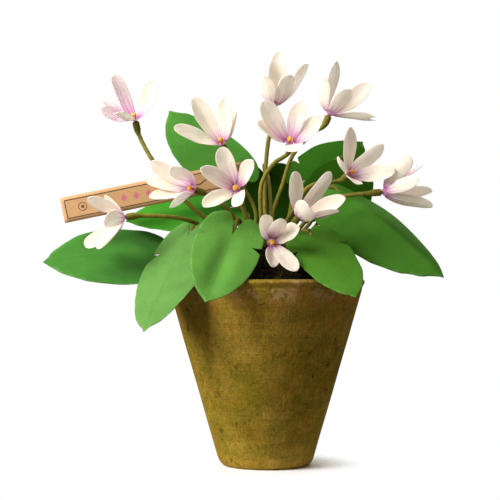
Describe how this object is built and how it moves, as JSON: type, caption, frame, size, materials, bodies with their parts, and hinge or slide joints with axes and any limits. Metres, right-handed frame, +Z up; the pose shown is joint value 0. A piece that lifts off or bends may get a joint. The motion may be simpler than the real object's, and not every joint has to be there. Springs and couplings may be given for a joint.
{
  "type": "potted paper violet",
  "caption": "Handmade paper violet with cream five-petalled flowers and heart-shaped leaves on wrapped stems, in a tapered round clay pot.",
  "frame": {"origin": "centre of the pot's flat underside", "axes": "+Z up along the pot's axis; -Y towards the front, the side the flowers face; +X to the right seen from the front"},
  "size_m": [0.2041, 0.1545, 0.2152],
  "materials": {
    "clay": "aged olive-brown terracotta, semi-matt",
    "foam": "matt",
    "moss": "fibrous, matt",
    "stem": "waxed crepe tape, matt",
    "leaf": "matt",
    "petal": "crepe, matt",
    "stamen": "matt",
    "kraft": "uncoated, matt"
  },
  "bodies": {
    "root": {"pot": "clay", "foam_plug": "foam", "moss_mound": "moss", "flower_01_stem": "stem", "flower_01_petals": "petal", "flower_01_stamens": "stamen", "flower_02_stem": "stem", "flower_02_petals": "petal", "flower_02_stamens": "stamen", "flower_03_stem": "stem", "flower_03_petals": "petal", "flower_03_stamens": "stamen", "flower_04_stem": "stem", "flower_04_petals": "petal", "flower_04_stamens": "stamen", "flower_05_stem": "stem", "flower_05_petals": "petal", "flower_05_stamens": "stamen", "flower_06_stem": "stem", "flower_06_petals": "petal", "flower_06_stamens": "stamen", "flower_07_stem": "stem", "flower_07_petals": "petal", "flower_07_stamens": "stamen", "flower_08_stem": "stem", "flower_08_petals": "petal", "flower_08_stamens": "stamen", "flower_09_stem": "stem", "flower_09_petals": "petal", "flower_09_stamens": "stamen", "flower_10_stem": "stem", "flower_10_petals": "petal", "flower_10_stamens": "stamen", "flower_11_stem": "stem", "flower_11_petals": "petal", "flower_11_stamens": "stamen", "flower_12_stem": "stem", "flower_12_petals": "petal", "flower_12_stamens": "stamen", "leaf_01_petiole": "stem", "leaf_01_blade": "leaf", "leaf_02_petiole": "stem", "leaf_02_blade": "leaf", "leaf_03_petiole": "stem", "leaf_03_blade": "leaf", "leaf_04_petiole": "stem", "leaf_04_blade": "leaf", "leaf_05_petiole": "stem", "leaf_05_blade": "leaf", "leaf_06_petiole": "stem", "leaf_06_blade": "leaf", "leaf_07_petiole": "stem", "leaf_07_blade": "leaf", "leaf_08_petiole": "stem", "leaf_08_blade": "leaf", "leaf_09_petiole": "stem", "leaf_09_blade": "leaf", "leaf_10_petiole": "stem", "leaf_10_blade": "leaf", "label": "kraft"}
  },
  "joints": []
}
